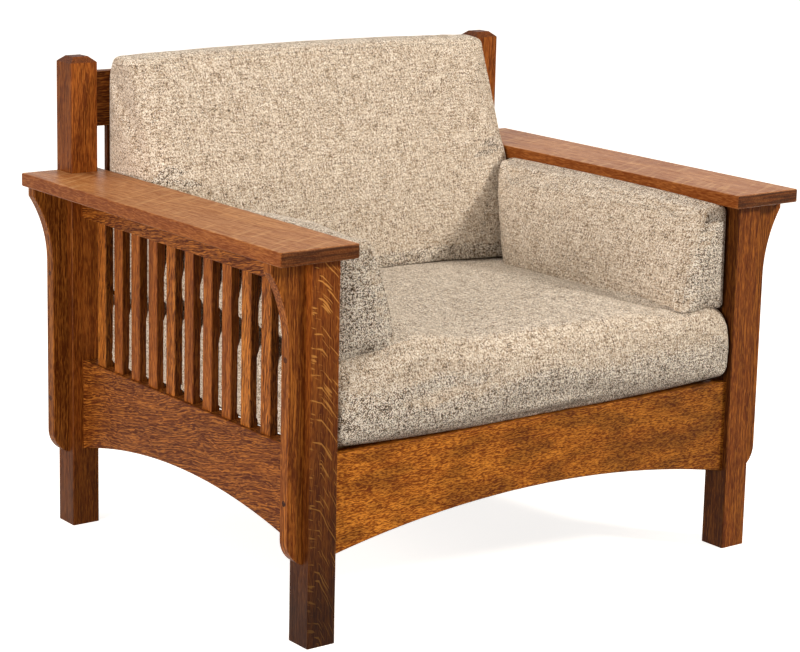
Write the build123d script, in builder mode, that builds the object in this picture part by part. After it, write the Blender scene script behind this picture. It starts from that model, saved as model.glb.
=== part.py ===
# Mission armchair in quarter-sawn oak, with four loose cushions.
# +Z is up, the front faces -Y, and the origin is on the floor under the middle of the chair.
# Left is the -X side, which is on the left for someone who faces the chair.

import os
from math import atan, degrees

from build123d import *

os.makedirs("parts", exist_ok=True)

# Overall sizes, in millimetres
leg_size = 52
width_over_legs = 942
depth_over_legs = 784
arm_height = 637
post_height = 838

# Arms
arm_width = 144
arm_thickness = 23
arm_side_overhang = 70
arm_front_overhang = 18
arm_edge_round = 3

# Rails and aprons
rail_thickness = 28
rail_top = 302
rail_foot = 140
rail_arch_rise = 45
apron_setback = 10
side_rail_setback = 21
side_top_rail_depth = 57
back_rail_thickness = 22
back_rail_depth = 96
back_rail_top = 810

# Slats
side_slat_count = 11
side_slat_width = 28
side_slat_thickness = 16
side_slat_end_gap = 41
back_slat_count = 8
back_slat_width = 70
back_slat_thickness = 12
back_slat_end_gap = 31

# Corbels, with the plugs and screws that hold them
corbel_thickness = 22
corbel_reach = 65
corbel_lip = 15
corbel_strip = 30
corbel_sweep_depth = 134
corbel_toe_depth = 42
corbel_toe_height = 133
plug_heights = (234, 460)
plug_diameter = 9.5
plug_length = 7
screw_head_diameter = 8
screw_head_length = 3
screw_diameter = 4.2
screw_bite = 20

# Joinery
tenon_thickness = 12
tenon_shoulder = 8
tenon_web = 2
apron_tenon_length = 24
slat_tenon_length = 12
slat_tenon_shoulder = 4
arm_tenon_size = 30
arm_tenon_length = 12
fit_gap = 0.3
plug_gap = 0.1
edge_ease = 1.5
slat_ease = 1.2
post_cap_rise = 10
post_cap_inset = 12

# Seat deck
cleat_size = 25
seat_slat_count = 5
seat_slat_width = 110
seat_slat_thickness = 18
seat_slat_end_gap = 48
deck_gap = 0.5

# Cushions
cushion_gap = 0.4
end_round = 14
end_round_shares = ((0, 0.6), (0.3, 0.2), (1, 0))
bow_shares = (0.5,)
seat_nose_overhang = 4
seat_height = 134
seat_bulge = 12
seat_crown = 14
seat_tuck = 15
seat_round = 45
back_cushion_height = 850
back_foot_thickness = 216
back_head_thickness = 76
back_bulge = 14
back_crown = 3
back_tuck = 6
back_side_gap = 3
back_round = 22
side_cushion_setback = 23
side_cushion_height = 622
side_foot_width = 143
side_head_width = 62
side_bulge = 10
side_crown = 4
side_tuck = 5
side_round = 16

# Places that the sizes give
outer_x = width_over_legs / 2
inner_x = outer_x - leg_size
leg_x = outer_x - leg_size / 2
arm_front_y = -(depth_over_legs + arm_front_overhang) / 2
front_y = arm_front_y + arm_front_overhang
back_y = front_y + depth_over_legs
front_leg_y = front_y + leg_size / 2
rear_leg_y = back_y - leg_size / 2
middle_y = (front_y + back_y) / 2
side_span = depth_over_legs - 2 * leg_size
front_span = 2 * inner_x
arm_underside = arm_height - arm_thickness
arm_x = outer_x + arm_side_overhang - arm_width / 2
side_rail_x = outer_x - side_rail_setback - rail_thickness / 2
apron_y = front_y + apron_setback + rail_thickness / 2
side_top_rail_foot = arm_underside - side_top_rail_depth
back_rail_foot = back_rail_top - back_rail_depth

# The side tenons stop short of the apron tenons that cross them in the same leg
front_tenon_room = leg_size - (apron_y + tenon_thickness / 2 - front_y)
rear_tenon_room = leg_size / 2 - tenon_thickness / 2
side_tenon_length = min(front_tenon_room, rear_tenon_room) - tenon_web

# Planes through the middle of each rail, with local X along the rail and local Y up
front_plane = Plane(origin=(0, apron_y, 0), x_dir=(1, 0, 0), z_dir=(0, -1, 0))
rear_plane = Plane(origin=(0, rear_leg_y, 0), x_dir=(1, 0, 0), z_dir=(0, -1, 0))
side_plane = Plane(origin=(-side_rail_x, middle_y, 0), x_dir=(0, 1, 0), z_dir=(1, 0, 0))

down = (Align.CENTER, Align.CENTER, Align.MAX)


def keep(piece, node):
    piece.part.label = node
    export_step(piece.part, f"parts/{node}.step")


def keep_pair(left, name):
    keep(left, f"{name}_left")
    with BuildPart() as right:
        mirror(left.part, about=Plane.YZ)
    keep(right, f"{name}_right")


def spread(count, span, width, end_gap):
    """Centres of count pieces that fill a span, with the same gap at both ends."""
    pitch = (span - 2 * end_gap - width) / (count - 1)
    return [(index - (count - 1) / 2) * pitch for index in range(count)]


side_slat_places = spread(side_slat_count, side_span, side_slat_width, side_slat_end_gap)
back_slat_places = spread(back_slat_count, front_span, back_slat_width, back_slat_end_gap)
seat_slat_places = spread(seat_slat_count, front_span, seat_slat_width, seat_slat_end_gap)


# Legs: the front ones end in a stub tenon under the arm, the rear ones rise past it as posts
rail_tenon_height = rail_top - rail_foot - 2 * tenon_shoulder
top_rail_tenon_height = side_top_rail_depth - 2 * tenon_shoulder
back_rail_tenon_height = back_rail_depth - 2 * tenon_shoulder
rail_middle = (rail_top + rail_foot) / 2
side_top_rail_middle = arm_underside - side_top_rail_depth / 2
back_rail_middle = back_rail_top - back_rail_depth / 2
side_mortise_depth = side_tenon_length + fit_gap
apron_mortise_depth = apron_tenon_length + fit_gap
mortise_width = tenon_thickness + 2 * fit_gap


def side_rail_mortises(leg_face_y, direction):
    """Mortises for the two side rails, cut from a leg's face towards the given direction."""
    mortise_y = leg_face_y + direction * side_mortise_depth / 2
    for height, tenon_height in (
        (rail_middle, rail_tenon_height),
        (side_top_rail_middle, top_rail_tenon_height),
    ):
        with Locations((-side_rail_x, mortise_y, height)):
            Box(
                mortise_width,
                side_mortise_depth,
                tenon_height + 2 * fit_gap,
                mode=Mode.SUBTRACT,
            )


def cross_rail_mortise(place_y, height, tenon_height):
    """Mortise for an apron or back rail, cut from a leg's inner face."""
    with Locations((-inner_x - apron_mortise_depth / 2, place_y, height)):
        Box(
            apron_mortise_depth,
            mortise_width,
            tenon_height + 2 * fit_gap,
            mode=Mode.SUBTRACT,
        )


def corbel_pilots(leg_y):
    """Pilot holes for the corbel's screws, drilled into a leg's outer face."""
    for height in plug_heights:
        with Locations(Plane(origin=(-outer_x, leg_y, height), z_dir=(-1, 0, 0))):
            Cylinder(
                screw_diameter / 2 + fit_gap,
                screw_bite + fit_gap,
                align=down,
                mode=Mode.SUBTRACT,
            )


with BuildPart() as front_leg:
    with BuildSketch():
        with Locations((-leg_x, front_leg_y)):
            Rectangle(leg_size, leg_size)
    extrude(amount=arm_underside)
    chamfer(front_leg.edges().filter_by(Axis.Z), edge_ease)
    with BuildSketch(Plane.XY.offset(arm_underside)):
        with Locations((-leg_x, front_leg_y)):
            Rectangle(arm_tenon_size, arm_tenon_size)
    extrude(amount=arm_tenon_length)
    side_rail_mortises(front_y + leg_size, -1)
    cross_rail_mortise(apron_y, rail_middle, rail_tenon_height)
    corbel_pilots(front_leg_y)
keep_pair(front_leg, "front_leg")

with BuildPart() as rear_post:
    with BuildSketch():
        with Locations((-leg_x, rear_leg_y)):
            Rectangle(leg_size, leg_size)
    extrude(amount=post_height - post_cap_rise)
    chamfer(rear_post.edges().filter_by(Axis.Z), edge_ease)
    extrude(
        rear_post.faces().sort_by(Axis.Z)[-1],
        amount=post_cap_rise,
        taper=degrees(atan(post_cap_inset / post_cap_rise)),
    )
    side_rail_mortises(back_y - leg_size, 1)
    cross_rail_mortise(rear_leg_y, rail_middle, rail_tenon_height)
    cross_rail_mortise(rear_leg_y, back_rail_middle, back_rail_tenon_height)
    corbel_pilots(rear_leg_y)
keep_pair(rear_post, "rear_post")


# Arms: a flat board, notched round the rear post from behind, mortised over the front leg
with BuildPart() as arm:
    with BuildSketch(Plane.XY.offset(arm_underside)):
        with Locations((-arm_x, (arm_front_y + back_y) / 2)):
            Rectangle(arm_width, back_y - arm_front_y)
    extrude(amount=arm_thickness)
    fillet(arm.edges().filter_by(Axis.Z), arm_edge_round)
    fillet(arm.edges().group_by(Axis.Z)[-1], arm_edge_round)
    chamfer(arm.edges().group_by(Axis.Z)[0], edge_ease)
    notch_depth = leg_size + fit_gap
    with Locations((-leg_x, back_y - notch_depth / 2, arm_height - arm_thickness / 2)):
        Box(leg_size + 2 * fit_gap, notch_depth, arm_thickness, mode=Mode.SUBTRACT)
    with Locations((-leg_x, front_leg_y, arm_underside + (arm_tenon_length + fit_gap) / 2)):
        Box(
            arm_tenon_size + 2 * fit_gap,
            arm_tenon_size + 2 * fit_gap,
            arm_tenon_length + fit_gap,
            mode=Mode.SUBTRACT,
        )
keep_pair(arm, "arm")


# Rails: board outline on its middle plane, tenons at both ends, mortises for slats in the edge
def end_tenons(plane, span, length, middle, height):
    with BuildPart() as tenons:
        with BuildSketch(plane):
            with Locations((-(span + length) / 2, middle), ((span + length) / 2, middle)):
                Rectangle(length, height)
        extrude(amount=tenon_thickness / 2, both=True)
    return tenons.part


def slat_housings(plane, places, opening_height, direction, width, thickness):
    """Blocks that cut the slats' mortises, sunk from one edge of a rail."""
    depth = slat_tenon_length + fit_gap
    with BuildPart() as housings:
        with BuildSketch(plane):
            with Locations(*[(place, opening_height + direction * depth / 2) for place in places]):
                Rectangle(width - 2 * slat_tenon_shoulder + 2 * fit_gap, depth)
        extrude(amount=(thickness - 2 * slat_tenon_shoulder) / 2 + fit_gap, both=True)
    return housings.part


def arched_rail(plane, span, tenon_length):
    """Board with a flat top and a shallow arch below, from leg to leg."""
    with BuildPart() as rail:
        with BuildSketch(plane):
            with BuildLine():
                Polyline(
                    (-span / 2, rail_foot),
                    (-span / 2, rail_top),
                    (span / 2, rail_top),
                    (span / 2, rail_foot),
                )
                ThreePointArc(
                    (span / 2, rail_foot),
                    (0, rail_foot + rail_arch_rise),
                    (-span / 2, rail_foot),
                )
            make_face()
        extrude(amount=rail_thickness / 2, both=True)
        chamfer(rail.edges().filter_by(GeomType.CIRCLE), edge_ease)
        long_edges = rail.edges().filter_by(GeomType.LINE).group_by(Axis.Z)[-1]
        fillet(long_edges.filter_by(Axis(plane.origin, plane.x_dir)), edge_ease)
        add(end_tenons(plane, span, tenon_length, rail_middle, rail_tenon_height))
    return rail


def straight_rail(plane, span, tenon_length, thickness, foot, top):
    """Plain board from leg to leg."""
    middle = (foot + top) / 2
    with BuildPart() as rail:
        with BuildSketch(plane):
            with Locations((0, middle)):
                Rectangle(span, top - foot)
        extrude(amount=thickness / 2, both=True)
        fillet(rail.edges().filter_by(Axis(plane.origin, plane.x_dir)), edge_ease)
        add(end_tenons(plane, span, tenon_length, middle, top - foot - 2 * tenon_shoulder))
    return rail


front_apron = arched_rail(front_plane, front_span, apron_tenon_length)
keep(front_apron, "front_apron")

with BuildPart() as rear_apron:
    add(arched_rail(rear_plane, front_span, apron_tenon_length).part)
    add(
        slat_housings(
            rear_plane, back_slat_places, rail_top, -1, back_slat_width, back_slat_thickness
        ),
        mode=Mode.SUBTRACT,
    )
keep(rear_apron, "rear_apron")

with BuildPart() as side_bottom_rail:
    add(arched_rail(side_plane, side_span, side_tenon_length).part)
    add(
        slat_housings(
            side_plane, side_slat_places, rail_top, -1, side_slat_width, side_slat_thickness
        ),
        mode=Mode.SUBTRACT,
    )
keep_pair(side_bottom_rail, "side_bottom_rail")

with BuildPart() as side_top_rail:
    add(
        straight_rail(
            side_plane,
            side_span,
            side_tenon_length,
            rail_thickness,
            side_top_rail_foot,
            arm_underside,
        ).part
    )
    add(
        slat_housings(
            side_plane,
            side_slat_places,
            side_top_rail_foot,
            1,
            side_slat_width,
            side_slat_thickness,
        ),
        mode=Mode.SUBTRACT,
    )
keep_pair(side_top_rail, "side_top_rail")

with BuildPart() as back_top_rail:
    add(
        straight_rail(
            rear_plane,
            front_span,
            apron_tenon_length,
            back_rail_thickness,
            back_rail_foot,
            back_rail_top,
        ).part
    )
    add(
        slat_housings(
            rear_plane, back_slat_places, back_rail_foot, 1, back_slat_width, back_slat_thickness
        ),
        mode=Mode.SUBTRACT,
    )
keep(back_top_rail, "back_top_rail")


# Slats: each stands between two rails on stub tenons
def slat(plane, place, width, thickness, foot, head):
    with BuildPart() as piece:
        with BuildSketch(plane):
            with Locations((place, (foot + head) / 2)):
                Rectangle(width, head - foot)
        extrude(amount=thickness / 2, both=True)
        chamfer(piece.edges().filter_by(Axis.Z), slat_ease)
        with BuildSketch(plane):
            with Locations((place, (foot + head) / 2)):
                Rectangle(width - 2 * slat_tenon_shoulder, head - foot + 2 * slat_tenon_length)
        extrude(amount=thickness / 2 - slat_tenon_shoulder, both=True)
    return piece


for number, place in enumerate(side_slat_places, start=1):
    side_slat = slat(
        side_plane, place, side_slat_width, side_slat_thickness, rail_top, side_top_rail_foot
    )
    keep(side_slat, f"side_slat_left_{number:02d}")
    with BuildPart() as other_slat:
        mirror(side_slat.part, about=Plane.YZ)
    keep(other_slat, f"side_slat_right_{number:02d}")

for number, place in enumerate(back_slat_places, start=1):
    back_slat = slat(
        rear_plane, place, back_slat_width, back_slat_thickness, rail_top, back_rail_foot
    )
    keep(back_slat, f"back_slat_{number:02d}")


# Corbels: a lip under the arm, a concave sweep, a straight strip and a rounded toe
corbel_face_x = outer_x + corbel_strip
plug_seat_depth = plug_length + screw_head_length


def corbel(leg_y):
    top_inside = (-outer_x, arm_underside)
    top_outside = (-outer_x - corbel_reach, arm_underside)
    lip_foot = (-outer_x - corbel_reach, arm_underside - corbel_lip)
    strip_head = (-corbel_face_x, arm_underside - corbel_sweep_depth)
    strip_foot = (-corbel_face_x, corbel_toe_height + corbel_toe_depth)
    toe = (-outer_x, corbel_toe_height)
    with BuildPart() as piece:
        with BuildSketch(Plane.XZ.offset(-leg_y)):
            with BuildLine():
                Polyline(top_inside, top_outside, lip_foot)
                TangentArc(strip_head, lip_foot, tangent=(0, 1))
                Line(strip_head, strip_foot)
                TangentArc(strip_foot, toe, tangent=(0, -1))
                Line(toe, top_inside)
            make_face()
        extrude(amount=corbel_thickness / 2, both=True)
        sides = piece.faces().sort_by(Axis.Y)
        outline = sides[0].edges() + sides[-1].edges()
        shown = outline.filter_by(lambda edge: edge.center().X < -outer_x - edge_ease)
        chamfer(shown.filter_by(lambda edge: edge.center().Z < arm_underside - edge_ease), edge_ease)
        for height in plug_heights:
            bore = Plane(origin=(-corbel_face_x, leg_y, height), z_dir=(-1, 0, 0))
            with Locations(bore):
                CounterBoreHole(
                    screw_diameter / 2 + fit_gap,
                    plug_diameter / 2 + plug_gap,
                    plug_seat_depth,
                    depth=corbel_strip,
                )
    return piece


keep_pair(corbel(front_leg_y), "corbel_front")
keep_pair(corbel(rear_leg_y), "corbel_rear")


def corbel_fastener_places(depth):
    """Planes in all the plug holes, the given depth under the corbels' outer edges."""
    return [
        Plane(origin=(side * (corbel_face_x - depth), leg_y, height), z_dir=(side, 0, 0))
        for side in (-1, 1)
        for leg_y in (front_leg_y, rear_leg_y)
        for height in plug_heights
    ]


with BuildPart() as corbel_plugs:
    with Locations(*corbel_fastener_places(0)):
        Cylinder(plug_diameter / 2, plug_length, align=down)
keep(corbel_plugs, "corbel_plugs")

with BuildPart() as corbel_screws:
    with Locations(*corbel_fastener_places(plug_length + fit_gap)):
        Cylinder(screw_head_diameter / 2, screw_head_length - fit_gap, align=down)
        Cylinder(
            screw_diameter / 2,
            corbel_strip - plug_length - fit_gap + screw_bite,
            align=down,
        )
keep(corbel_screws, "corbel_screws")


# Seat deck: slats from front to back, flush with the rails, on a cleat along each apron
front_deck_y = apron_y + rail_thickness / 2
rear_deck_y = rear_leg_y - rail_thickness / 2
deck_underside = rail_top - seat_slat_thickness


def cleat(apron_face_y, direction):
    with BuildPart() as piece:
        with Locations(
            (0, apron_face_y + direction * cleat_size / 2, deck_underside - cleat_size / 2)
        ):
            Box(front_span - 2 * deck_gap, cleat_size, cleat_size)
    return piece


keep(cleat(front_deck_y, 1), "seat_cleat_front")
keep(cleat(rear_deck_y, -1), "seat_cleat_rear")

for number, place in enumerate(seat_slat_places, start=1):
    with BuildPart() as seat_slat:
        with Locations(
            (place, (front_deck_y + rear_deck_y) / 2, deck_underside + seat_slat_thickness / 2)
        ):
            Box(seat_slat_width, rear_deck_y - front_deck_y - 2 * deck_gap, seat_slat_thickness)
        chamfer(seat_slat.edges().filter_by(Axis.Y), slat_ease)
    keep(seat_slat, f"seat_slat_{number:02d}")


# Cushions: each is a loft with a bulged front and a crowned top, drawn in and rounded at
# its ends. The later ones are cut where they press on the earlier ones.
def bulged(start, end, bulge):
    """Arc from start to end that stands out to the left of the line by the bulge."""
    along = Vector(*end) - Vector(*start)
    outward = Vector(0, 0, 1).cross(along).normalized()
    middle = (Vector(*start) + Vector(*end)) / 2
    return ThreePointArc(start, middle + outward * bulge, end)


def cushion_section(plane, corners, bulges, corner_round, drawn, inset):
    """Rounded outline, drawn in at the front and the top, and inset all round."""
    foot_front, head_front, head_back, foot_back = corners
    with BuildSketch(plane) as section:
        with BuildLine():
            front_low = (foot_front[0] + drawn, foot_front[1])
            front_high = (head_front[0] + drawn, head_front[1] - drawn)
            back_high = (head_back[0], head_back[1] - drawn)
            bulged(front_low, front_high, bulges[0])
            bulged(front_high, back_high, bulges[1])
            Polyline(back_high, foot_back, front_low)
        make_face()
        if inset:
            offset(amount=-inset)
        fillet(section.vertices(), corner_round - inset)
    return section.sketch.face()


def pillow(middle_plane, half_length, corners, bulges, corner_round, tuck):
    """Straight-sided loft through the stations from one rounded end to the other."""
    stations = [
        (half_length - end_round * along_share, tuck, end_round * inset_share)
        for along_share, inset_share in end_round_shares
    ]
    stations += [
        (half_length * along_share, tuck * along_share * along_share, 0)
        for along_share in bow_shares
    ]
    mirrored = [(-along, drawn, inset) for along, drawn, inset in reversed(stations)]
    with BuildPart() as soft:
        loft(
            [
                cushion_section(
                    middle_plane.offset(along), corners, bulges, corner_round, drawn, inset
                )
                for along, drawn, inset in [*stations, (0, 0, 0), *mirrored]
            ],
            ruled=True,
        )
    return soft


rear_cushion_y = rear_leg_y - back_rail_thickness / 2 - cushion_gap
seat_half_width = inner_x - cushion_gap
seat_foot = rail_top + cushion_gap
seat_front_y = front_y - seat_nose_overhang
seat_head = seat_foot + seat_height

seat_cushion = pillow(
    Plane.YZ,
    seat_half_width,
    (
        (seat_front_y, seat_foot),
        (seat_front_y, seat_head),
        (rear_cushion_y, seat_head),
        (rear_cushion_y, seat_foot),
    ),
    (seat_bulge, seat_crown),
    seat_round,
    seat_tuck,
)
keep(seat_cushion, "seat_cushion")
raised_seat = seat_cushion.part.moved(Location((0, 0, cushion_gap)))

# The back cushion and the side cushions start below the seat's crown, which cuts their feet
pressed_foot = seat_head - back_round
arm_inner_x = outer_x + arm_side_overhang - arm_width
back_corners = (
    (rear_cushion_y - back_foot_thickness, pressed_foot),
    (rear_cushion_y - back_head_thickness, back_cushion_height - back_crown),
    (rear_cushion_y, back_cushion_height - back_crown),
    (rear_cushion_y, pressed_foot),
)
back_bulges = (back_bulge, back_crown)
with BuildPart() as back_cushion:
    add(
        pillow(
            Plane.YZ,
            arm_inner_x - back_side_gap,
            back_corners,
            back_bulges,
            back_round,
            back_tuck,
        ).part
    )
    add(raised_seat, mode=Mode.SUBTRACT)
keep(back_cushion, "back_cushion")

side_front_y = front_y + side_cushion_setback
side_length = rear_cushion_y - back_head_thickness - side_front_y
side_corners = (
    (-side_foot_width, pressed_foot),
    (-side_head_width, side_cushion_height - side_crown),
    (0, side_cushion_height - side_crown),
    (0, pressed_foot),
)
with BuildPart() as side_cushion:
    add(
        pillow(
            Plane(
                origin=(cushion_gap - seat_half_width, side_front_y + side_length / 2, 0),
                x_dir=(-1, 0, 0),
                z_dir=(0, 1, 0),
            ),
            side_length / 2,
            side_corners,
            (side_bulge, side_crown),
            side_round,
            side_tuck,
        ).part
    )
    add(raised_seat, mode=Mode.SUBTRACT)
    with BuildSketch(Plane.YZ):
        add(cushion_section(Plane.XY, back_corners, back_bulges, back_round, -cushion_gap, 0))
    extrude(amount=outer_x, both=True, mode=Mode.SUBTRACT)
    with Locations((-arm_x, middle_y, arm_height - arm_thickness / 2)):
        Box(
            arm_width + 2 * cushion_gap,
            depth_over_legs,
            arm_thickness + 2 * cushion_gap,
            mode=Mode.SUBTRACT,
        )
keep_pair(side_cushion, "side_cushion")
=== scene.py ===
# Mission armchair in stained quarter-sawn white oak, with four loose tweed cushions.
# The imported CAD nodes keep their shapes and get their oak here. The cushions are re-made as cloth.
import math
from functools import partial

import bpy
from mathutils import Euler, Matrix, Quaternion, Vector
from mathutils.bvhtree import BVHTree


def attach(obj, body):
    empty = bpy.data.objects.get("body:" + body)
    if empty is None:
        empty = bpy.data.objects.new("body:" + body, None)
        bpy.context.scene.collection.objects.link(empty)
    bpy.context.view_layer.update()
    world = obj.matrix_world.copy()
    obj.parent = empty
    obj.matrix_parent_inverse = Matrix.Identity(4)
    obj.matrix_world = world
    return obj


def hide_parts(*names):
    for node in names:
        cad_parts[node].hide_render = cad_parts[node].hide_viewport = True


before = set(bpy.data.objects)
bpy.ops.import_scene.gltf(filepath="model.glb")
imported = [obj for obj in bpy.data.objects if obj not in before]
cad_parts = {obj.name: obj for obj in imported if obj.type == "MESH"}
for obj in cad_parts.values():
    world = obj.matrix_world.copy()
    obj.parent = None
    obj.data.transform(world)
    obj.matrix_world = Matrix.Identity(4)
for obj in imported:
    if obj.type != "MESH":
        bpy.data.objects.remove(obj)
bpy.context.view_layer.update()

mm = 0.001
scene = bpy.context.scene
print("frame loaded:", len(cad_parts), "nodes")


def linearColour(hexCode):  # sRGB hex to linear red, green and blue, and full alpha
    channels = [int(hexCode[i : i + 2], 16) / 255 for i in (1, 3, 5)]
    linear = [c / 12.92 if c <= 0.04045 else ((c + 0.055) / 1.055) ** 2.4 for c in channels]
    return [*linear, 1.0]


def limited(value):  # between 0 and 1
    return min(1, max(0, value))


def deselectAll():
    if bpy.context.object and bpy.context.object.mode != "OBJECT":
        bpy.ops.object.mode_set(mode="OBJECT")
    bpy.ops.object.select_all(action="DESELECT")


def makeActive(piece):
    deselectAll()
    piece.select_set(True)
    bpy.context.view_layer.objects.active = piece


def addNode(tree, kind, inputs=None, stops=(), **settings):
    # An input is a value, a hex colour, a socket, or a node that gives its first working output.
    node = tree.nodes.new(kind)
    for name, value in settings.items():
        setattr(node, name, value)
    for name, value in (inputs or {}).items():
        if isinstance(value, bpy.types.Node):
            value = next(socket for socket in value.outputs if socket.enabled)
        if isinstance(value, bpy.types.NodeSocket):
            tree.links.new(value, node.inputs[name])
        else:
            node.inputs[name].default_value = linearColour(value) if isinstance(value, str) else value
    if stops:  # of a colour ramp; a tone is a hex colour or a grey level
        ramp = node.color_ramp.elements
        while len(ramp) < len(stops):
            ramp.new(0.5)
        for element, (place, tone) in zip(ramp, stops):
            element.position = place
            element.color = linearColour(tone) if isinstance(tone, str) else (tone, tone, tone, 1)
    return node


def newMaterial(name):  # the material, and the function that adds nodes to it
    material = bpy.data.materials.new(name)
    material.use_nodes = True
    material.node_tree.nodes.clear()
    return material, partial(addNode, material.node_tree)


cameraFit = {  # fitted to the chair's straight edges in the photograph
    "place": (-2.47449, -3.24513, 1.34540),  # m
    "yaw": 37.126,  # degrees, like the pitch and the roll
    "pitch": 11.896,
    "roll": 1.294,
    "lens": 107.47,  # mm
    "sensor": 36,  # mm
    "shiftY": -0.075,  # share of the picture's width
    "farEnd": 50,  # m
}


def addCamera(fit):
    bpy.ops.object.camera_add(location=fit["place"])
    camera = bpy.context.object
    camera.name = "portraitCamera"
    level = Euler((math.radians(90 - fit["pitch"]), 0, math.radians(-fit["yaw"]))).to_quaternion()
    camera.rotation_euler = (level @ Quaternion((0, 0, 1), math.radians(fit["roll"]))).to_euler()
    camera.data.sensor_width = fit["sensor"]
    camera.data.sensor_fit = "HORIZONTAL"
    camera.data.lens = fit["lens"]
    camera.data.shift_y = fit["shiftY"]
    camera.data.clip_end = fit["farEnd"]
    scene.camera = camera


deselectAll()
addCamera(cameraFit)


studio = {
    "floorSize": 40,  # m
    "floorBounce": "#6e6c6a",  # the floor that lights the chair from below
    "floorSeen": "#f4f3f1",  # the floor in the picture takes shadows, and the glow lifts it to white
    "floorGlow": 0.78,
    "worldFill": 0.47,
    "worldTint": "#fff0df",
    "white": "#ffffff",
    "lamps": {  # name: (place, aim, size across, size up, watts, tint)
        "keyLamp": ((3.0, -3.5, 2.95), (0, 0, 0.5), 0.7, 0.7, 167, "#fff3e4"),
        "fillLamp": ((-4.4, -1.2, 1.3), (0, 0, 0.45), 1.6, 1.6, 150, "#fff1e5"),
        "topLamp": ((-0.3, 0.5, 3.4), (0, 0, 0.4), 2.2, 2.2, 28, "#fff4e6"),
    },
}


def whiteToCamera(add, lighting, white):
    # the camera sees the white shader, also in gloss and through glass; the light comes from the other
    path = add("ShaderNodeLightPath").outputs
    seen = path["Is Camera Ray"]
    for kind in ("Is Glossy Ray", "Is Transmission Ray"):
        seen = add("ShaderNodeMath", {0: seen, 1: path[kind]}, operation="MAXIMUM")
    return add("ShaderNodeMixShader", {0: seen, 1: lighting, 2: white})


def addStudio(setup):
    bpy.ops.mesh.primitive_plane_add(size=setup["floorSize"], location=(0, 0, 0))
    floor = bpy.context.object
    floor.name = "paleFloor"
    material, add = newMaterial("matt white studio floor")
    matt = add("ShaderNodeBsdfDiffuse", {"Color": setup["floorBounce"]})
    pale = add("ShaderNodeBsdfDiffuse", {"Color": setup["floorSeen"]})
    glow = add("ShaderNodeEmission", {"Color": setup["white"], "Strength": setup["floorGlow"]})
    both = add("ShaderNodeAddShader", {0: pale, 1: glow})
    add("ShaderNodeOutputMaterial", {"Surface": whiteToCamera(add, matt, both)})
    floor.data.materials.append(material)

    world = bpy.data.worlds.new("plain studio air")
    world.use_nodes = True
    world.node_tree.nodes.clear()
    add = partial(addNode, world.node_tree)
    fill = add("ShaderNodeBackground", {"Color": setup["worldTint"], "Strength": setup["worldFill"]})
    white = add("ShaderNodeBackground", {"Color": setup["white"], "Strength": 1})
    add("ShaderNodeOutputWorld", {"Surface": whiteToCamera(add, fill, white)})
    scene.world = world

    for name, (place, aim, across, up, watts, tint) in setup["lamps"].items():
        bpy.ops.object.light_add(type="AREA", location=place)
        lamp = bpy.context.object
        lamp.name = name
        lamp.data.shape = "RECTANGLE"
        lamp.data.size = across
        lamp.data.size_y = up
        lamp.data.energy = watts
        lamp.data.color = linearColour(tint)[:3]
        lamp.rotation_euler = (Vector(aim) - Vector(place)).to_track_quat("-Z", "Y").to_euler()


addStudio(studio)
scene.view_settings.view_transform = "Standard"
print("camera and studio ready")


# Quarter-sawn white oak, stained warm brown under a thin satin lacquer: broken dark pores and
# golden streaks run with the grain, growth bands shift the tone, end grain takes the stain dark.
axisOrder = {  # the grain's axis first, then across the board, then through it
    "X": ("X", "Z", "Y"),
    "Y": ("Y", "Z", "X"),
    "flatY": ("Y", "X", "Z"),
    "Z": ("Z", "X", "Y"),
    "sideZ": ("Z", "Y", "X"),
}


figure = {  # cells in mm along, across and through the board; stops are levels of a pattern
    "waverCell": (150, 55, 55),
    "rippleCell": (16, 14, 14),
    "bandCell": (260, 18, 18),
    "bandDetail": (3, 0.55),  # how many finer layers, and how strong each one is
    "bandStops": (0.34, 0.5, 0.66),
    "fleckWidth": 1.5,
    "poreStops": ((0.4, 1.0), (0.5, 0.0)),
    "goldStops": ((0.53, 0.0), (0.63, 1.0)),
    "goldShare": 0.6,  # of the pores' strength
    "rayDrop": {"From Min": 560, "From Max": 100, "To Min": 0.7, "To Max": 1.6},  # height to steepness
    "rayRipple": (2.5, 2, 0),  # mm
    "rayStops": ((0.6, 0.0), (0.65, 1.0)),
    "ringCell": (900, 60, 2.6),
    "ringStops": (0.4, 0.6),
    "faceStops": ((0.6, 0.0), (0.85, 1.0)),  # how squarely a face or an end looks along its axis
    "edgeStops": ((0.5, 0.0), (0.8, 1.0)),
    "cloudStops": (0.36, 0.56),
    "softness": 0.4,  # of the fine detail in the clouds and the ray flecks
    "poreRough": 0.12,  # how much duller the open pores are
    "poreLevels": (0.35, 0.6),  # of the lines, from an open pore to closed wood
    "relief": 0.35,
    "reliefDepth": 0.3,  # mm, of the open pores
    "gloss": 0.09,  # low, because the lacquer mirrors an all-white studio
    "lastCoat": (0.9, 0.87, 0.8, 1),  # share of each colour that the last coat of stain lets through
}


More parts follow.
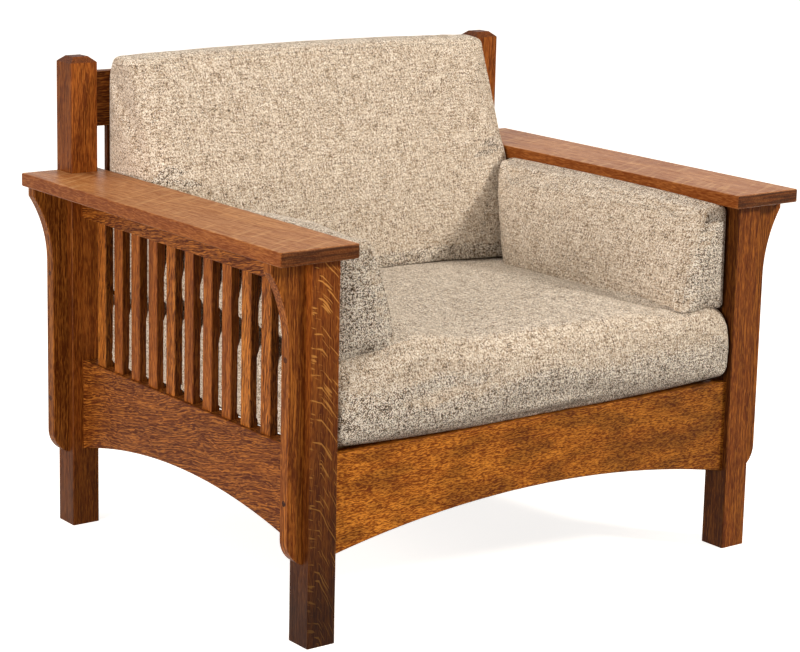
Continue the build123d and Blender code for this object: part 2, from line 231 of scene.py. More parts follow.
def makeOak(name, board):
    material, add = newMaterial(name)
    cover = {"data_type": "RGBA"}
    tint = {"data_type": "RGBA", "blend_type": "MULTIPLY"}

    def inGrainOrder(vector):
        axes = add("ShaderNodeSeparateXYZ", {0: vector}).outputs
        ordered = [axes[a] for a in axisOrder[board["grain"]]]
        return add("ShaderNodeCombineXYZ", dict(enumerate(ordered)))

    def pattern(vector, cell, detail=1.0, rough=0.5):  # uneven, with cells of a size in mm
        shares = [1 / size for size in cell]
        scaled = add("ShaderNodeVectorMath", {0: vector, 1: shares}, operation="MULTIPLY")
        inputs = {"Vector": scaled, "Scale": 1, "Detail": detail, "Roughness": rough}
        return add("ShaderNodeTexNoise", inputs)

    def amount(level, stops, strength):  # how much of a streak shows at each level of a pattern
        step = add("ShaderNodeValToRGB", {"Fac": level}, stops)
        return add("ShaderNodeMath", {0: step, 1: strength}, operation="MULTIPLY")

    def bent(vector, bends, way):  # the vector, moved by a pattern's colour as far as the bends say
        inputs = {0: bends.outputs["Color"], 1: way, 2: vector}
        return add("ShaderNodeVectorMath", inputs, operation="MULTIPLY_ADD")

    place = add("ShaderNodeTexCoord").outputs["Object"]
    toMm = {0: place, 1: [1 / mm] * 3, 2: board["shift"]}
    inMm = add("ShaderNodeVectorMath", toMm, operation="MULTIPLY_ADD")
    tilt = {"Vector": inGrainOrder(inMm), "Angle": math.radians(board["tilt"])}
    straight = add("ShaderNodeVectorRotate", tilt, rotation_type="Z_AXIS")
    ripple = pattern(straight, figure["rippleCell"])
    waver = pattern(straight, figure["waverCell"], detail=2)
    swing = bent(straight, waver, (0, board["waver"], board["waver"]))
    grain = bent(swing, ripple, (0, board["ripple"], board["ripple"]))

    bands = pattern(grain, figure["bandCell"], *figure["bandDetail"])
    tones = zip(figure["bandStops"], (board["deep"], board["middle"], board["light"]))
    figured = add("ShaderNodeValToRGB", {"Fac": bands}, tuple(tones))
    lines = pattern(grain, (board["lineLength"], board["lineWidth"], board["lineWidth"]))
    flecks = pattern(grain, (board["fleckLength"], figure["fleckWidth"], figure["fleckWidth"]))
    for streaks, strength in ((lines, board["lines"]), (flecks, board["flecks"])):
        dark = amount(streaks, figure["poreStops"], strength)
        pale = amount(streaks, figure["goldStops"], strength * figure["goldShare"])
        figured = add("ShaderNodeMix", {"Factor": dark, "A": figured, "B": board["pore"]}, **cover)
        figured = add("ShaderNodeMix", {"Factor": pale, "A": figured, "B": board["gold"]}, **cover)

    facing = inGrainOrder(add("ShaderNodeNewGeometry").outputs["Normal"])
    unsigned = add("ShaderNodeVectorMath", {0: facing}, operation="ABSOLUTE")
    turned = add("ShaderNodeSeparateXYZ", {0: unsigned}).outputs
    if board["rays"]:  # ray flecks: level at the board's left edge, then bending down to the right
        along, across = add("ShaderNodeSeparateXYZ", {0: swing}).outputs[:2]
        beyond = add("ShaderNodeMath", {0: across, 1: board["rayBend"]}, operation="SUBTRACT")
        beyond = add("ShaderNodeMath", {0: beyond, 1: 0}, operation="MAXIMUM")
        steepness = add("ShaderNodeMapRange", {"Value": along, **figure["rayDrop"]})
        level = add("ShaderNodeMath", {0: beyond, 1: steepness, 2: along}, operation="MULTIPLY_ADD")
        sloping = {0: across, 1: board["raySlope"], 2: level}
        level = add("ShaderNodeMath", sloping, operation="MULTIPLY_ADD")
        curved = add("ShaderNodeCombineXYZ", {0: level, 1: across})
        curved = bent(curved, ripple, figure["rayRipple"])
        strokes = pattern(curved, board["rayCell"], rough=figure["softness"])
        rays = amount(strokes, figure["rayStops"], board["rays"])
        onFace = add("ShaderNodeValToRGB", {"Fac": turned[2]}, figure["faceStops"])
        rays = add("ShaderNodeMath", {0: rays, 1: onFace}, operation="MULTIPLY")
        figured = add("ShaderNodeMix", {"Factor": rays, "A": figured, "B": board["ray"]}, **cover)

    rings = pattern(straight, figure["ringCell"], detail=2)
    ringTones = zip(figure["ringStops"], (board["endDark"], board["endPale"]))
    endGrain = add("ShaderNodeValToRGB", {"Fac": rings}, tuple(ringTones))
    onEnd = add("ShaderNodeValToRGB", {"Fac": turned[0]}, figure["faceStops"])
    figured = add("ShaderNodeMix", {"Factor": onEnd, "A": figured, "B": endGrain}, **tint)
    # painted shade: the narrow sides take the edge tint, darker than the broad faces
    onShadedSide = add("ShaderNodeValToRGB", {"Fac": turned[1]}, figure["edgeStops"])
    figured = add("ShaderNodeMix", {"Factor": onShadedSide, "A": figured, "B": board["edge"]}, **tint)
    if board["cloud"]:  # soft darker patches, as in boards cut near the heart
        patches = pattern(swing, board["cloudCell"], rough=figure["softness"])
        depths = zip(figure["cloudStops"], (1 - board["cloud"], 1.0))
        shade = add("ShaderNodeValToRGB", {"Fac": patches}, tuple(depths))
        figured = add("ShaderNodeMix", {"Factor": 1.0, "A": figured, "B": shade}, **tint)
    if board["fade"]:  # the tone changes from one end of the board to the other; on the legs and posts this is painted shade towards the foot
        axis, *ends = board["fade"]
        reach = {"Value": add("ShaderNodeSeparateXYZ", {0: inMm}).outputs[axis]}
        reach |= dict(zip(("From Min", "From Max", "To Min", "To Max"), ends))
        shade = add("ShaderNodeMapRange", reach)
        figured = add("ShaderNodeMix", {"Factor": 1.0, "A": figured, "B": shade}, **tint)
    coat = {"Factor": 1.0, "A": figured, "B": figure["lastCoat"]}

    dull = {"Value": lines, "From Min": figure["poreLevels"][0], "From Max": figure["poreLevels"][1]}
    dull |= {"To Min": board["rough"] + figure["poreRough"], "To Max": board["rough"]}
    relief = {"Strength": figure["relief"], "Distance": figure["reliefDepth"] * mm, "Height": flecks}
    lacquered = {
        "Base Color": add("ShaderNodeMix", coat, **tint),
        "Roughness": add("ShaderNodeMapRange", dull),
        "Normal": add("ShaderNodeBump", relief),
        "IOR": 1.5,
        "Specular IOR Level": figure["gloss"],
    }
    surface = add("ShaderNodeBsdfPrincipled", lacquered)
    add("ShaderNodeOutputMaterial", {"Surface": surface})
    return material


oakBase = {
    "grain": "Z",
    "shift": (0, 0, 0),
    "tilt": 0,  # degrees between the grain and the board
    "deep": "#84461a",  # the growth bands, from the darkest
    "middle": "#a15c24",
    "light": "#b66f30",
    "pore": "#471c05",  # the dark and the golden streaks
    "gold": "#d98e3e",
    "waver": 12,  # mm of slow bend in the grain
    "ripple": 2.5,  # mm of quick bend
    "lineLength": 90,  # mm
    "lineWidth": 2.1,  # mm
    "fleckLength": 16,  # mm
    "lines": 0.6,  # strengths of the long lines, the short flecks and the ray flecks
    "flecks": 0.45,
    "rays": 0.0,
    "rayBend": 10000,  # mm across the board, where the flecks begin to bend down
    "raySlope": 0.3,  # mm down for each mm across
    "rayCell": (4.6, 30, 30),  # mm
    "ray": "#e0a055",
    "endDark": "#6a584c",  # tints of the rings in the end grain
    "endPale": "#a3917f",
    "edge": "#ffffff",  # painted shade: a tint that darkens the board's narrow sides against its broad faces
    "cloud": 0.0,  # how much darker the soft patches are
    "cloudCell": (90, 45, 45),  # mm
    "fade": None,  # axis, mm where it begins and ends, share of the light there
    "rough": 0.42,
}
legTones = {"deep": "#6f3510", "middle": "#86461b", "light": "#9a5523", "lines": 0.5, "flecks": 0.4}
corbelBoard = {"shift": (310, 120, 400), "lineLength": 160}
goldenSlats = (1, 2, 3, 7, 11)
oakBoards = {  # material name: what differs from the plain board, and the starts of the nodes' names
    "front leg, stained oak with ray flecks": (
        {
            **legTones,
            "lines": 0.35,
            "rays": 0.9,
            "rayBend": -445,
            # painted shade: the leg darkens towards its foot
            "fade": ("Z", 60, 560, 0.16, 1.0),
        },
        ("front_leg_left",),
    ),
    "right leg, stained rift-sawn oak": (
        # painted shade: the grey edge tint darkens the leg's narrow sides
        {**legTones, "deep": "#63300f", "middle": "#7a4019", "light": "#8c4c20", "edge": "#a0a0a0"},
        ("front_leg_right",),
    ),
    "rear posts, stained rift-sawn oak": (
        {
            **legTones,
            "deep": "#7d4015",
            "middle": "#98531f",
            "light": "#ac6028",
            # painted shade: the edge tint darkens the post's narrow sides, and the post darkens towards
            # its foot
            "edge": "#c9c5c2",
            "fade": ("Z", 60, 500, 0.6, 1.0),
        },
        ("rear_post",),
    ),
    "front corbels, stained rift-sawn oak": (
        {**corbelBoard, "middle": "#7d4316", "lines": 0.7, "flecks": 0.3},
        ("corbel_front",),
    ),
    "rear corbels, rift-sawn oak in painted shade": (
        # painted shade: a darker copy of the corbel oak for the corbels that stand in shadow
        {**corbelBoard, "deep": "#64330f", "middle": "#744017", "light": "#885020"},
        ("corbel_rear",),
    ),
    "slats, stained rift-sawn oak": (
        {
            "grain": "sideZ",
            "shift": (710, 520, 100),
            "deep": "#7b3f16",
            "middle": "#93501e",
            "light": "#a55f28",
            "lines": 0.55,
            "flecks": 0.4,
            # painted shade: the edge tint darkens the slats' sides, between one slat and the next
            "edge": "#b0aaa4",
        },
        ("side_slat", "back_slat"),
    ),
    "golden slats, stained quarter-sawn oak": (
        {
            "grain": "sideZ",
            "middle": "#b0672a",
            "light": "#c47d38",
            "lineLength": 45,
            "tilt": 4,
            "lines": 0.8,
            "flecks": 0.6,
            # painted shade: the edge tint darkens the slats' sides, between one slat and the next
            "edge": "#a09a94",
        },
        tuple(f"side_slat_{side}_{slat:02}" for side in ("left", "right") for slat in goldenSlats),
    ),
    "arms, stained quarter-sawn oak": (
        {
            "grain": "flatY",
            "tilt": 6,
            # painted sheen: the pale tones stand for the lit tops, and the edge tint darkens and warms
            # the sides
            "deep": "#9c6438",
            "middle": "#ad7548",
            "light": "#be8857",
            "pore": "#84481f",
            "gold": "#dfaa78",
            "lineLength": 60,
            "lines": 0.55,
            "flecks": 0.4,
            "edge": "#d0b48e",
            "endDark": "#74665a",
            "endPale": "#b29d88",
            "rays": 0.35,
            "ray": "#d9ae80",
            "raySlope": -0.35,
            "rayCell": (11, 90, 90),
            "rough": 0.36,
        },
        ("arm_left", "arm_right"),
    ),
    "side rails, stained quarter-sawn oak": (
        {
            "grain": "Y",
            "shift": (200, 600, 300),
            "tilt": 11,
            "deep": "#5a2a0e",
            "middle": "#6f3814",
            "light": "#84481b",
            "waver": 26,
            "ripple": 3,
            "lineWidth": 1.8,
            "lines": 0.8,
        },
        ("side_bottom_rail", "side_top_rail"),
    ),
    "aprons, stained quarter-sawn oak": (
        {
            "grain": "X",
            "deep": "#90501c",
            "middle": "#ae6824",
            "light": "#c17a2e",
            "pore": "#622b0b",
            "gold": "#e09a40",
            "ripple": 4.5,
            "lineLength": 26,
            "fleckLength": 7,
            "lines": 0.65,
            "flecks": 0.8,
            "cloud": 0.35,
            "cloudCell": (70, 30, 30),
            "fade": ("X", -419, 419, 1.5, 0.82),
        },
        ("front_apron", "rear_apron"),
    ),
    "back rail, stained quarter-sawn oak": (
        {"grain": "X", "deep": "#502508", "middle": "#66340f", "light": "#7a431a", "lines": 0.5},
        ("back_top_rail",),
    ),
    "plugs, stained end-grain oak": (
        {"grain": "X", "deep": "#6a3a1c", "middle": "#7a4522", "light": "#8a5028"},
        ("corbel_plugs",),
    ),
    "deck, plain planed poplar": (
        {
            "grain": "Y",
            "deep": "#b4966a",
            "middle": "#c4a87c",
            "light": "#d0b78d",
            "pore": "#a08458",
            "gold": "#dcc69e",
            "rough": 0.6,
        },
        ("seat_cleat", "seat_slat"),
    ),
}


def giveMaterial(nodeStarts, material):
    count = 0
    for name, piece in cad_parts.items():
        if name.startswith(tuple(nodeStarts)):
            for slot in piece.material_slots:
                slot.material = material
            count += 1
    return count


for boardName, (changes, nodeStarts) in oakBoards.items():
    covered = giveMaterial(nodeStarts, makeOak(boardName, {**oakBase, **changes}))
    print(boardName, "on", covered, "nodes")


def makeSteel():  # zinc-plated wood screws: pale bluish grey metal, lightly matt
    material, add = newMaterial("screws, zinc-plated steel")
    plated = {"Base Color": "#b9babb", "Metallic": 1.0, "Roughness": 0.35}
    add("ShaderNodeOutputMaterial", {"Surface": add("ShaderNodeBsdfPrincipled", plated)})
    return material


giveMaterial(("corbel_screws",), makeSteel())


# Heathered wool-blend tweed in plain weave: cream yarns with short grey-brown neps, no gloss.
# Its yarns are 1.35 mm apart, coarser than the real ones, because those would be too fine to show.
tweed = {
    "tones": ("#43362a", "#a8947d", "#cec0ad", "#f8f4ec"),  # nep, shaded yarn, ground and pale yarn
    "toneStops": (0.12, 0.34, 0.5, 0.85),
    "yarn": 1.35,  # mm
    "yarnStep": 7.31,  # how far apart in the noise two neighbouring yarns are, so that they differ
    "slub": 3,  # mm that one colour lasts along a yarn
    "runWidth": 3.2,  # mm across a streak of another dye lot
    "runLength": 26,  # mm along it
    "cloudCell": 25,  # mm across a soft patch
    "overShare": 0.62,  # what the yarn on top, the neps, the patches and the streaks give to the tone
    "nepShare": 0.55,
    "cloudShare": 0.12,
    "runShare": 0.22,
    "start": 0.165,  # the tone with none of them
    # painted light: how a face is turned sets how strongly the flecks show and where the middle tone
    # lies, standing in for the shade in the weave's relief
    "slope": (0, -1, -2),  # with the normal this gives 1 on a front, 0 on a side and -2 on a top
    "onFronts": {"From Min": 0.55, "From Max": 0.9, "To Min": 1.1, "To Max": 3.0},  # slope to contrast, painted shade in the weave
    "onTops": {"From Min": -1.9, "From Max": -1.2, "To Min": 1.7, "To Max": 1.1},
    "middle": (0.015, 0.483),  # the tone's level for a contrast: so much of it, and a fixed part
    "relief": 0.6,
    "reliefDepth": 0.5,  # mm, of the weave
    "reliefTone": 0.5,  # how much a paler yarn also stands out
}


def makeTweed(cloth):
    material, add = newMaterial("heathered cream tweed, plain weave")

    def pattern(vector, shares, operation="MULTIPLY", detail=0.0):  # uneven, on the flat cloth
        scaled = add("ShaderNodeVectorMath", {0: vector, 1: (*shares, 1)}, operation=operation)
        inputs = {"Vector": scaled, "Scale": 1, "Detail": detail}
        return add("ShaderNodeTexNoise", inputs, noise_dimensions="2D")

    place = add("ShaderNodeTexCoord").outputs["UV"]
    spacing = {0: place, 1: [cloth["yarn"] * mm] * 3}
    inYarns = add("ShaderNodeVectorMath", spacing, operation="DIVIDE")
    whole = add("ShaderNodeVectorMath", {0: inYarns}, operation="FLOOR")
    across = add("ShaderNodeSeparateXYZ", {0: inYarns}).outputs[:2]
    yarns = add("ShaderNodeSeparateXYZ", {0: whole}).outputs[:2]
    nep = add("ShaderNodeTexWhiteNoise", {"Vector": whole}, noise_dimensions="2D").outputs["Value"]
    along = cloth["yarn"] / cloth["slub"]
    onWarp = add("ShaderNodeCombineXYZ", {0: yarns[0], 1: across[1]})
    onWeft = add("ShaderNodeCombineXYZ", {0: across[0], 1: yarns[1]})
    warp = pattern(onWarp, (cloth["yarnStep"], along))
    weft = pattern(onWeft, (along, cloth["yarnStep"]))
    crossing = add("ShaderNodeMath", {0: yarns[0], 1: yarns[1]}, operation="ADD")
    weftOver = add("ShaderNodeMath", {0: crossing, 1: 1}, operation="PINGPONG")
    over = add("ShaderNodeMix", {"Factor": weftOver, "A": warp, "B": weft})
    cloud = pattern(place, [cloth["cloudCell"] * mm] * 2, "DIVIDE", detail=2)
    thick, long = cloth["yarn"] / cloth["runWidth"], cloth["yarn"] / cloth["runLength"]
    warpRun, weftRun = pattern(inYarns, (thick, long)), pattern(inYarns, (long, thick))
    runs = add("ShaderNodeMath", {0: warpRun, 1: weftRun}, operation="ADD")
    runs = add("ShaderNodeMath", {0: runs, 1: 1}, operation="SUBTRACT")

    neps = add("ShaderNodeMath", {0: nep, 1: cloth["nepShare"]}, operation="MULTIPLY")
    offMiddle = add("ShaderNodeMath", {0: over, 1: 0.5}, operation="SUBTRACT")
    woven = {0: offMiddle, 1: cloth["overShare"], 2: neps}
    heather = add("ShaderNodeMath", woven, operation="MULTIPLY_ADD")
    clouded = {0: cloud, 1: cloth["cloudShare"], 2: cloth["start"]}
    patches = add("ShaderNodeMath", clouded, operation="MULTIPLY_ADD")
    heather = add("ShaderNodeMath", {0: heather, 1: patches}, operation="ADD")
    streaked = {0: runs, 1: cloth["runShare"], 2: heather}
    heather = add("ShaderNodeMath", streaked, operation="MULTIPLY_ADD")
    # painted light: the contrast and the middle tone follow how the face is turned
    normal = add("ShaderNodeNewGeometry").outputs["Normal"]
    slope = add("ShaderNodeVectorMath", {0: normal, 1: cloth["slope"]}, operation="DOT_PRODUCT")
    onFront = add("ShaderNodeMapRange", {"Value": slope, **cloth["onFronts"]})
    onTop = add("ShaderNodeMapRange", {"Value": slope, **cloth["onTops"]})
    contrast = add("ShaderNodeMath", {0: onFront, 1: onTop}, operation="MAXIMUM")
    share, fixed = cloth["middle"]
    middle = add("ShaderNodeMath", {0: contrast, 1: share, 2: fixed}, operation="MULTIPLY_ADD")
    offMiddle = add("ShaderNodeMath", {0: heather, 1: 0.5}, operation="SUBTRACT")
    heather = add("ShaderNodeMath", {0: offMiddle, 1: contrast, 2: middle}, operation="MULTIPLY_ADD")

    turns = [add("ShaderNodeMath", {0: value, 1: math.pi}, operation="MULTIPLY") for value in across]
    humps = [add("ShaderNodeMath", {0: turn}, operation="SINE") for turn in turns]
    weave = add("ShaderNodeMath", dict(enumerate(humps)), operation="MULTIPLY")
    weave = add("ShaderNodeMath", {0: weave}, operation="ABSOLUTE")
    raised = {0: heather, 1: cloth["reliefTone"], 2: weave}
    height = add("ShaderNodeMath", raised, operation="MULTIPLY_ADD")
    relief = {"Strength": cloth["relief"], "Distance": cloth["reliefDepth"] * mm, "Height": height}
    tones = tuple(zip(cloth["toneStops"], cloth["tones"]))
    cover = {
        "Base Color": add("ShaderNodeValToRGB", {"Fac": heather}, tones),
        "Roughness": 0.95,
        "Normal": add("ShaderNodeBump", relief),
        "Specular IOR Level": 0.15,
        "Sheen Weight": 0.2,
        "Sheen Roughness": 0.5,
    }
    add("ShaderNodeOutputMaterial", {"Surface": add("ShaderNodeBsdfPrincipled", cover)})
    return material


tweedCloth = makeTweed(tweed)

# Each cushion is remeshed, pressed into its form, swollen by a cloth step and laid against the slats.
# Lengths are in mm. Levels run from 0 at a cushion's foot to 1 at its head.
seamShape = {"radius": 1.2, "spacing": 10, "search": 4, "smoothing": 4, "roundness": 2}
rearCorner = {"footRadius": 90, "headRadius": 8, "footDraw": 26, "drawOver": 150, "slices": 24}
slimShape = {"inset": 70, "gain": 1.6}  # the outer skin stays, and from the inset on all moves
riseShape = {"begin": 250, "over": 350, "edge": 25}  # where it begins, and how far until it is full
squareShape = {"most": 0.75, "roundFrom": 0.75, "roundOver": 0.15, "liftGain": 1.6}
dipShape = {"over": 30, "below": 70, "fade": 50}
bulgeShape = {"beyond": 38, "ease": 25, "cornerBand": 44, "cornerEase": 16, "cornerShare": 0.75}
clothSettings = {  # the solver's own names and units: a light springy cover over a soft filling
    "quality": 6,
    "mass": 0.4,
    "tension_stiffness": 20,
    "compression_stiffness": 12,
    "shear_stiffness": 6,
    "bending_stiffness": 1.2,
    "use_pressure": True,
    "uniform_pressure_force": 4,
}
clothFrames = 20
sideBulge = {  # how a side cushion meets the slats
    "against": 12,  # towards the slats, and further between two of them
    "between": 4,
    "band": 16,  # how deep the skin is that moves
    "footShare": 0,  # up to this level the seat's foot fills the corner, out to footPlace
    "footPlace": 0,
    "limit": 431,  # nothing goes further out
    "level": ((0, 0), (0.1, 1), (0.25, 1), (0.42, 0)),  # how much of it there is at each level
}
cushions = {  # voxel is the remesh's cell, and cap how far the cloth may swell
    "seatCushion": {
        "node": "seat_cushion",
        "voxel": 8,
        "soften": 6,
        "cap": 9,
        "fill": 0.8,
        "foot": {"drawn": 45, "wanted": 18, "sideWanted": 7, "reach": 0.55, "lift": 7},
        "dip": 6,
        "rise": {
            "fromTop": True,
            "left": ((130, 0), (230, 20), (300, 32), (360, 24)),  # (out from the middle, up)
            "right": ((150, 0), (260, 5), (320, 6), (380, 12)),
            "reach": 40,
        },
        "bulge": {
            "against": 14,
            "between": 5,
            "band": 36,
            "footShare": 0.13,
            "footPlace": 427,
            "limit": 432,
            "level": ((0, 1), (0.15, 1), (0.7, 1), (0.95, 0)),
        },
        "seams": {},
    },
    "backCushion": {
        "node": "back_cushion",
        "voxel": 7,
        "soften": 6,
        "cap": 7,
        "fill": 0.7,
        "seams": {
            "LeftSeam": {"along": 2, "towards": (-1, -1, 0), "trim": (16, 10)},
            "RightSeam": {"along": 2, "towards": (1, -1, 0), "trim": (16, 10)},
            "TopSeam": {"along": 0, "towards": (0, -1, 1), "trim": (10, 10)},
        },
    },
    "sideCushionLeft": {
        "node": "side_cushion_left",
        "voxel": 5,
        "soften": 3,
        "cap": 6,
        "fill": 0.7,
        "inwards": 1,
        "corner": rearCorner,
        "slim": {"foot": 4, "head": -24, "peak": 11, "over": 400},
        "rise": {
            "fromTop": False,
            "left": ((0, 24), (1, 24)),
            "reach": 320,
        },
        "bulge": sideBulge,
        "seams": {
            "FrontSeam": {"along": 2, "towards": (1, -1, 0), "trim": (14, 8)},
            "TopSeam": {"along": 1, "towards": (1, 0, 1), "trim": (8, 40)},
        },
    },
    "sideCushionRight": {
        "node": "side_cushion_right",
        "voxel": 5,
        "soften": 3,
        "cap": 6,
        "fill": 0.7,
        "inwards": -1,
        "corner": rearCorner,
        "slim": {"foot": 32, "head": 0, "peak": 0, "over": 260},
        "rise": {
            "fromTop": False,
            "right": ((250, 0), (320, 2), (380, 12)),
            "reach": 150,
        },
        "bulge": sideBulge,
        "seams": {
            "FrontSeam": {"along": 2, "towards": (-1, -1, 0), "trim": (14, 8)},
            "TopSeam": {"along": 1, "towards": (-1, 0, 1), "trim": (8, 40)},
        },
    },
}
contact = {  # in metres
    "weld": 0.05 * mm,  # points closer than this become one
    "near": 4 * mm,  # the cloth is held where it begins closer than this
    "clear": 0.3 * mm,  # a checked move stops this far from the next piece
}


def neighbourTree(ownNode):  # everything that a cushion can touch, as one searchable surface
    corners, faces = [], []
    for name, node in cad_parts.items():
        if name != ownNode:
            first = len(corners)
            corners += [v.co.copy() for v in node.data.vertices]
            faces += [[first + i for i in face.vertices] for face in node.data.polygons]
    return BVHTree.FromPolygons(corners, faces)


def moveClear(place, move, neighbours):  # the place after the move, stopped short of the neighbours
    if move.length > 0:
        hit = neighbours.ray_cast(place, move.normalized(), move.length + contact["clear"])[3]
        if hit is not None:
            move = move * (max(0, hit - contact["clear"]) / move.length)
    return place + move


def heightRange(piece):
    heights = [v.co.z for v in piece.data.vertices]
    return min(heights), max(heights)


def roundCorner(piece, inwards, corner):
    # the rear upright edge turns away from the seat, most of all at its foot
    points = [v.co for v in piece.data.vertices]
    foot, head = heightRange(piece)
    height = head - foot
    slices = corner["slices"]
    faceX, endY = [0.0] * slices, [0.0] * slices
    for index in range(slices):
        level = [p for p in points if abs((p.z - foot) / height * slices - index - 0.5) < 1]
        faceX[index] = max(p.x * inwards for p in level)
        endY[index] = max(p.y for p in level)
    for point in points:
        share = (point.z - foot) / height
        index = min(slices - 1, int(share * slices))
        nearEnd = max(0, 1 - (endY[index] - point.y) / (corner["drawOver"] * mm))
        point.y -= corner["footDraw"] * mm * (1 - share) * nearEnd**2
    for index in range(slices):
        endY[index] -= corner["footDraw"] * mm * (1 - (index + 0.5) / slices)
    for point in points:
        share = (point.z - foot) / height
        index = min(slices - 1, int(share * slices))
        radius = (corner["footRadius"] + (corner["headRadius"] - corner["footRadius"]) * share) * mm
        fromFace = faceX[index] - point.x * inwards
        fromEnd = endY[index] - point.y
        away = math.hypot(radius - fromFace, radius - fromEnd)
        if fromFace < radius and fromEnd < radius and away > radius:
            point.x = (faceX[index] - radius + (radius - fromFace) * radius / away) * inwards
            point.y = endY[index] - radius + (radius - fromEnd) * radius / away


def between(stops, place):  # stops: (place, value), joined by straight lines
    for (start, low), (end, high) in zip(stops, stops[1:]):
        if place < end:
            return low + (high - low) * max(0, place - start) / (end - start)
    return stops[-1][1]


def slimFoot(piece, slim):
    # the front end of a side cushion is slimmer at its foot, and fuller at its head
    low, high = heightRange(piece)
    outer = max(abs(v.co.x) for v in piece.data.vertices)
    front = min(v.co.y for v in piece.data.vertices)
    for vertex in piece.data.vertices:
        share = (vertex.co.z - low) / (high - low)
        forwards = max(0, 1 - (vertex.co.y - front) / (slim["over"] * mm))
        inwards = min(1, (outer - abs(vertex.co.x)) / (slimShape["inset"] * mm))
        move = (slim["foot"] * (1 - share) + slim["head"] * share) * mm * inwards
        amount = min(1, slimShape["gain"] * forwards)
        vertex.co.x += move * amount * math.copysign(1, vertex.co.x)
        vertex.co.z += slim["peak"] * mm * share**4 * inwards**2 * amount


def raiseFront(piece, rise):
    # the seat stands higher towards the front, and takes the side cushions on it along
    edge = heightRange(piece)[1 if rise["fromTop"] else 0]
    for vertex in piece.data.vertices:
        forwards = limited((riseShape["begin"] * mm - vertex.co.y) / (riseShape["over"] * mm))
        near = limited(1 - (abs(vertex.co.z - edge) - riseShape["edge"] * mm) / (rise["reach"] * mm))
        height = between(rise["left" if vertex.co.x < 0 else "right"], abs(vertex.co.x) / mm)
        vertex.co.z += height * mm * forwards * near


def squareFoot(piece, foot, neighbours):  # the drawn foot is rounder than the sewn one
    points = [v.co.copy() for v in piece.data.vertices]
    low = min(p.z for p in points)
    middle = Vector(((min(p[a] for p in points) + max(p[a] for p in points)) / 2 for a in range(3)))
    halfWidth = max(p.x for p in points) - middle.x
    halfDepth = max(p.y for p in points) - middle.y
    drawn = foot["drawn"] * mm
    for vertex, place in zip(piece.data.vertices, points):
        into = limited((low + drawn - place.z) / drawn)
        pushes = []
        for wanted in (foot["sideWanted"] * mm, foot["wanted"] * mm):
            intoNew = limited((low + wanted - place.z) / wanted)
            push = drawn * (1 - math.sqrt(1 - into**2)) - wanted * (1 - math.sqrt(1 - intoNew**2))
            pushes.append(min(push, squareShape["most"] * drawn))
        sideways = (place.x - middle.x) / halfWidth
        forwards = (place.y - middle.y) / halfDepth
        flat = foot["reach"]
        reach = [max(0, abs(share) - flat) / (1 - flat) for share in (sideways, forwards)]
        # the front corners stay round
        pushes[0] *= 1 - limited((-forwards - squareShape["roundFrom"]) / squareShape["roundOver"])
        room = (halfWidth * (1 - abs(sideways)), halfDepth * (1 - abs(forwards)))
        steps = [min(push * share, left) for push, share, left in zip(pushes, reach, room)]
        lift = foot["lift"] * mm * into * min(1, squareShape["liftGain"] * reach[1])
        move = Vector((math.copysign(steps[0], sideways), math.copysign(steps[1], forwards), lift))
        vertex.co = moveClear(place, move, neighbours)


def dipUnderBack(piece, depth):  # the seat gives a little where the back cushion stands on it
    backFront = min(v.co.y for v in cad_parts["back_cushion"].data.vertices)
    top = heightRange(piece)[1]
    over = dipShape["over"] * mm
    for vertex in piece.data.vertices:
        share = limited((vertex.co.y - backFront + over) / over)
        high = limited((vertex.co.z - top + dipShape["below"] * mm) / (dipShape["fade"] * mm))
        vertex.co.z -= depth * mm * share * share * (3 - 2 * share) * high


def slatSpans():  # where the side slats stand, from front to back
    spans = []
    for name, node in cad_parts.items():
        if name.startswith("side_slat_left"):
            across = [v.co.y for v in node.data.vertices]
            spans.append((min(across), max(across)))
    return sorted(spans)


def bulgeAgainstSlats(piece, bulge, neighbours):
    # the filling pushes the cover onto the slats and between them
    spans = slatSpans()
    gaps = [(before[1], after[0]) for before, after in zip(spans, spans[1:])]
    beyond = bulgeShape["beyond"] * mm
    widest = max(abs(v.co.x) for v in piece.data.vertices)
    low, high = heightRange(piece)
    for vertex in piece.data.vertices:
        point = vertex.co
        outer = max(0, 1 - (widest - abs(point.x)) / (bulge["band"] * mm))
        fromEnds = min(point.y - spans[0][0] + beyond, spans[-1][1] + beyond - point.y)
        zone = fromEnds / (bulgeShape["ease"] * mm)
        share = (point.z - low) / (high - low)
        if zone <= 0 or (outer == 0 and share >= bulge["footShare"]):
            continue
        depth = bulge["against"] * mm * min(1, zone)
        for begin, end in gaps:
            if begin < point.y < end:
                place = (point.y - begin) / (end - begin)
                depth += bulge["between"] * mm * math.sin(math.pi * place) ** 2
        depth *= between(bulge["level"], share) * outer
        if share < bulge["footShare"]:  # the foot fills the corner over the rail
            inner = abs(point.x) - bulge["footPlace"] * mm
            start = limited((inner + bulgeShape["cornerBand"] * mm) / (bulgeShape["cornerEase"] * mm))
            depth = max(depth, bulgeShape["cornerShare"] * max(0, -inner) * start * min(1, zone))
        depth = min(depth, max(0, bulge["limit"] * mm - abs(point.x)))
        vertex.co = moveClear(point, Vector((math.copysign(depth, point.x), 0, 0)), neighbours)


def swellCloth(piece, held):
    piece.vertex_groups.new(name="held").add(held, 1.0, "REPLACE")
    makeActive(piece)
    bpy.ops.object.modifier_add(type="CLOTH")
    cloth = piece.modifiers[-1]
    for name, value in clothSettings.items():
        setattr(cloth.settings, name, value)
    cloth.settings.vertex_group_mass = "held"
    cloth.settings.effector_weights.gravity = 0  # only the filling's pressure acts
    cloth.point_cache.frame_start = 1
    cloth.point_cache.frame_end = clothFrames
    for step in range(1, clothFrames + 1):
        scene.frame_set(step)
    bpy.ops.object.modifier_apply(modifier=cloth.name)
    scene.frame_set(1)
    piece.vertex_groups.clear()


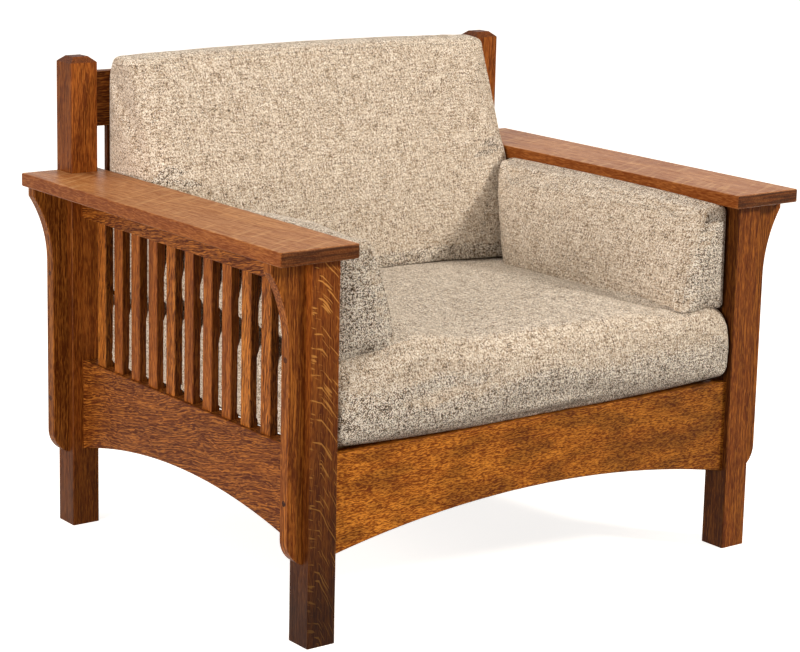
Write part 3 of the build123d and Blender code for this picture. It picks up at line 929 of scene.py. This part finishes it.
def addSeam(cushion, name, seam):  # a fine sewn ridge along the edge that faces one way
    points = [v.co for v in cushion.data.vertices]
    axis = seam["along"]
    towards = Vector(seam["towards"])
    low = min(p[axis] for p in points) + seam["trim"][0] * mm
    high = max(p[axis] for p in points) - seam["trim"][1] * mm
    steps = int((high - low) / (seamShape["spacing"] * mm))
    path = []
    for step in range(steps + 1):
        level = low + (high - low) * step / steps
        slab = [p for p in points if abs(p[axis] - level) < seamShape["search"] * mm]
        path.append(max(slab, key=towards.dot).copy())
    for turn in range(seamShape["smoothing"]):
        threes = zip(path, path[1:], path[2:])
        path = [path[0], *[(before + 2 * here + after) / 4 for before, here, after in threes], path[-1]]
    deselectAll()
    bpy.ops.curve.primitive_bezier_curve_add()
    ridge = bpy.context.object
    ridge.name = name
    ridge.data.splines.clear()
    line = ridge.data.splines.new("POLY")
    line.points.add(len(path) - 1)
    for point, place in zip(line.points, path):
        point.co = (*place, 1)
    ridge.data.bevel_depth = seamShape["radius"] * mm
    ridge.data.bevel_resolution = seamShape["roundness"]
    ridge.data.use_fill_caps = True
    bpy.ops.object.convert(target="MESH")
    bpy.ops.object.shade_smooth()
    layClothMap(ridge)
    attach(ridge, "root")


def inEditMode(piece, tool, **settings):  # one mesh tool on the whole piece
    makeActive(piece)
    bpy.ops.object.mode_set(mode="EDIT")
    bpy.ops.mesh.select_all(action="SELECT")
    tool(**settings)
    bpy.ops.object.mode_set(mode="OBJECT")


def layClothMap(piece):  # one UV unit is a metre, so that the yarns have their size everywhere
    inEditMode(piece, bpy.ops.uv.cube_project, cube_size=1, correct_aspect=False)
    piece.data.materials.clear()
    piece.data.materials.append(tweedCloth)


def applyModifier(piece, kind, **settings):
    bpy.ops.object.modifier_add(type=kind)
    modifier = piece.modifiers[-1]
    for name, value in settings.items():
        setattr(modifier, name, value)
    bpy.ops.object.modifier_apply(modifier=modifier.name)


def makeCushion(name, pad):
    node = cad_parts[pad["node"]]
    piece = bpy.data.objects.new(name, node.data.copy())
    scene.collection.objects.link(piece)
    piece.data.materials.clear()
    inEditMode(piece, bpy.ops.mesh.remove_doubles, threshold=contact["weld"])
    piece.data.remesh_voxel_size = pad["voxel"] * mm
    bpy.ops.object.voxel_remesh()
    neighbours = neighbourTree(pad["node"])
    if "corner" in pad:
        roundCorner(piece, pad["inwards"], pad["corner"])
    if "foot" in pad:
        squareFoot(piece, pad["foot"], neighbours)
        dipUnderBack(piece, pad["dip"])
    if "slim" in pad:
        slimFoot(piece, pad["slim"])
    if "rise" in pad:
        raiseFront(piece, pad["rise"])

    applyModifier(piece, "SMOOTH", iterations=pad["soften"])  # the filling rounds the sewn edges
    start = [v.co.copy() for v in piece.data.vertices]
    held = [i for i, place in enumerate(start) if neighbours.find_nearest(place, contact["near"])[0]]
    swellCloth(piece, held)
    for vertex, place in zip(piece.data.vertices, start):
        move = vertex.co - place
        if move.length > pad["cap"] * mm:
            move *= pad["cap"] * mm / move.length
        vertex.co = moveClear(place, move, neighbours)

    applyModifier(piece, "SUBSURF", levels=1, render_levels=1)
    if "bulge" in pad:
        bulgeAgainstSlats(piece, pad["bulge"], neighbours)
    bpy.ops.object.shade_smooth()
    layClothMap(piece)
    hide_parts(pad["node"])
    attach(piece, "root")
    print(name, len(piece.data.polygons), "faces,", len(held), "held points")
    for seamName, seam in pad["seams"].items():
        addSeam(piece, name + seamName, seam)


for cushionName, cushion in cushions.items():
    makeCushion(cushionName, cushion)
